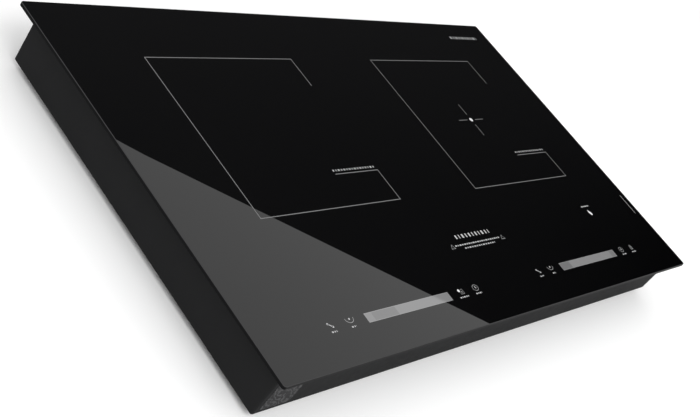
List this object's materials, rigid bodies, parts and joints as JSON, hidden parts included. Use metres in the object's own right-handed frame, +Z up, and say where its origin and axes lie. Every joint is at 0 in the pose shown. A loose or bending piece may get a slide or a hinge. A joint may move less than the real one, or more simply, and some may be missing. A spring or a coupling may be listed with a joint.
{
  "type": "built-in two-zone electric cooktop",
  "caption": "Drop-in black glass cooktop on a shallow black steel tray, with an induction zone, a radiant zone, touch controls, cooling fans and swing-out fixing arms.",
  "frame": {"origin": "on the surface under the feet, below the middle of the glass", "axes": "+X to the user's right, +Y to the back, +Z up"},
  "size_m": [0.73, 0.43, 0.065],
  "materials": {
    "glass_black": "polished, opaque black glass-ceramic",
    "adhesive": "black silicone",
    "seal_foam": "closed-cell foam",
    "housing_paint": "satin black powder coat",
    "label_foil": "satin foil with fine wavy lines",
    "foot_rubber": "matte rubber",
    "screw_steel": "zinc plated",
    "bracket_zinc": "zinc plated sheet",
    "gland_plastic": "moulded nylon",
    "terminal_plastic": "moulded polyamide",
    "terminal_brass": "plated brass",
    "post_steel": "turned steel",
    "spring_steel": "spring wire",
    "plate_aluminium": "rolled sheet",
    "ferrite": "sintered ferrite",
    "carrier_plastic": "glass-filled plastic",
    "copper_litz": "twisted enamelled copper strands",
    "mica": "pressed mica",
    "silicone": "white silicone",
    "sensor_cap": "drawn cap",
    "heater_steel": "aluminised steel",
    "insulation": "pressed mineral insulation",
    "ribbon_alloy": "oxidised resistance alloy",
    "quartz": "clear quartz",
    "steatite": "steatite",
    "fan_plastic": "glass-filled plastic",
    "rotor_plastic": "moulded plastic",
    "board_laminate": "solder-masked laminate",
    "tray_plastic": "moulded tray",
    "standoff_nylon": "nylon",
    "sink_aluminium": "extruded",
    "chip_epoxy": "moulded epoxy",
    "capacitor_case": "potted case",
    "choke_winding": "enamelled winding",
    "relay_case": "moulded case",
    "fuse_glass": "glass with plated caps",
    "transformer_tape": "polyester tape",
    "connector_nylon": "nylon",
    "light_guide": "milky light guide",
    "lead_sleeve": "braided sleeve",
    "lead_glassfibre": "glass-fibre braid",
    "lead_pvc": "PVC insulation",
    "cable_flat": "flat cable"
  },
  "bodies": {
    "hob_body": {"base_screws": "screw_steel", "blank_label": "label_foil", "board_capacitors": "capacitor_case", "board_chips": "chip_epoxy", "board_connectors": "connector_nylon", "board_fuses": "fuse_glass", "board_standoffs": "standoff_nylon", "bracket_screws": "screw_steel", "cable_gland": "gland_plastic", "choke_coil": "choke_winding", "coil_leads": "lead_sleeve", "coil_springs": "spring_steel", "control_cables": "cable_flat", "earth_stud": "terminal_brass", "fan_frame_left": "fan_plastic", "fan_frame_right": "fan_plastic", "gland_nut": "gland_plastic", "glass_adhesive": "adhesive", "glass_top": "glass_black", "heat_sink": "sink_aluminium", "heater_leads": "lead_glassfibre", "heater_springs": "spring_steel", "housing": "housing_paint", "light_bars": "light_guide", "mains_leads": "lead_pvc", "power_board_left": "board_laminate", "power_board_right": "board_laminate", "power_transistors": "chip_epoxy", "relays": "relay_case", "rim_seal": "seal_foam", "rubber_feet": "foot_rubber", "supply_transformers": "transformer_tape", "terminal_block": "terminal_plastic", "terminal_screws": "terminal_brass", "touch_board_left": "board_laminate", "touch_board_right": "board_laminate", "touch_carrier_left": "tray_plastic", "touch_carrier_right": "tray_plastic", "touch_springs": "spring_steel", "zone_posts": "post_steel"},
    "coil_unit": {"coil_plate": "plate_aluminium", "ferrite_bars": "ferrite", "coil_carrier": "carrier_plastic", "induction_coil": "copper_litz", "mica_sheet": "mica", "sensor_holder": "silicone", "temperature_sensor": "sensor_cap"},
    "heater_unit": {"heater_plate": "heater_steel", "heater_dish": "heater_steel", "insulation_base": "insulation", "insulation_ring": "insulation", "heating_ribbon": "ribbon_alloy", "limiter_rod": "quartz", "limiter_head": "steatite"},
    "fan_wheel_left": {"fan_rotor_left": "rotor_plastic"},
    "fan_wheel_right": {"fan_rotor_right": "rotor_plastic"},
    "bracket_front_left": {"fixing_bracket_front_left": "bracket_zinc"},
    "bracket_back_left": {"fixing_bracket_back_left": "bracket_zinc"},
    "bracket_front_right": {"fixing_bracket_front_right": "bracket_zinc"},
    "bracket_back_right": {"fixing_bracket_back_right": "bracket_zinc"}
  },
  "joints": [
    {"name": "coil_float", "type": "slide", "parent": "hob_body", "child": "coil_unit", "axis": [0, 0, 1], "range_m": [-0.003, 0], "stiffness_N_per_m": 3500, "springref_m": 0.005, "deforming": ["coil_springs", "coil_leads"]},
    {"name": "heater_float", "type": "slide", "parent": "hob_body", "child": "heater_unit", "axis": [0, 0, 1], "range_m": [-0.003, 0], "stiffness_N_per_m": 6000, "springref_m": 0.006, "deforming": ["heater_springs", "heater_leads"]},
    {"name": "fan_left_spin", "type": "hinge", "parent": "hob_body", "child": "fan_wheel_left", "pos_m": [-0.305, 0.132, 0.02], "axis": [0, 0, 1], "continuous": true},
    {"name": "fan_right_spin", "type": "hinge", "parent": "hob_body", "child": "fan_wheel_right", "pos_m": [0.305, 0.132, 0.02], "axis": [0, 0, 1], "continuous": true},
    {"name": "bracket_front_left_swing", "type": "hinge", "parent": "hob_body", "child": "bracket_front_left", "pos_m": [-0.334, -0.07, 0.0053], "axis": [0, 0, 1], "range_deg": [0, 90]},
    {"name": "bracket_back_left_swing", "type": "hinge", "parent": "hob_body", "child": "bracket_back_left", "pos_m": [-0.334, 0.07, 0.0053], "axis": [0, 0, 1], "range_deg": [-90, 0]},
    {"name": "bracket_front_right_swing", "type": "hinge", "parent": "hob_body", "child": "bracket_front_right", "pos_m": [0.334, -0.07, 0.0053], "axis": [0, 0, 1], "range_deg": [-90, 0]},
    {"name": "bracket_back_right_swing", "type": "hinge", "parent": "hob_body", "child": "bracket_back_right", "pos_m": [0.334, 0.07, 0.0053], "axis": [0, 0, 1], "range_deg": [0, 90]}
  ]
}
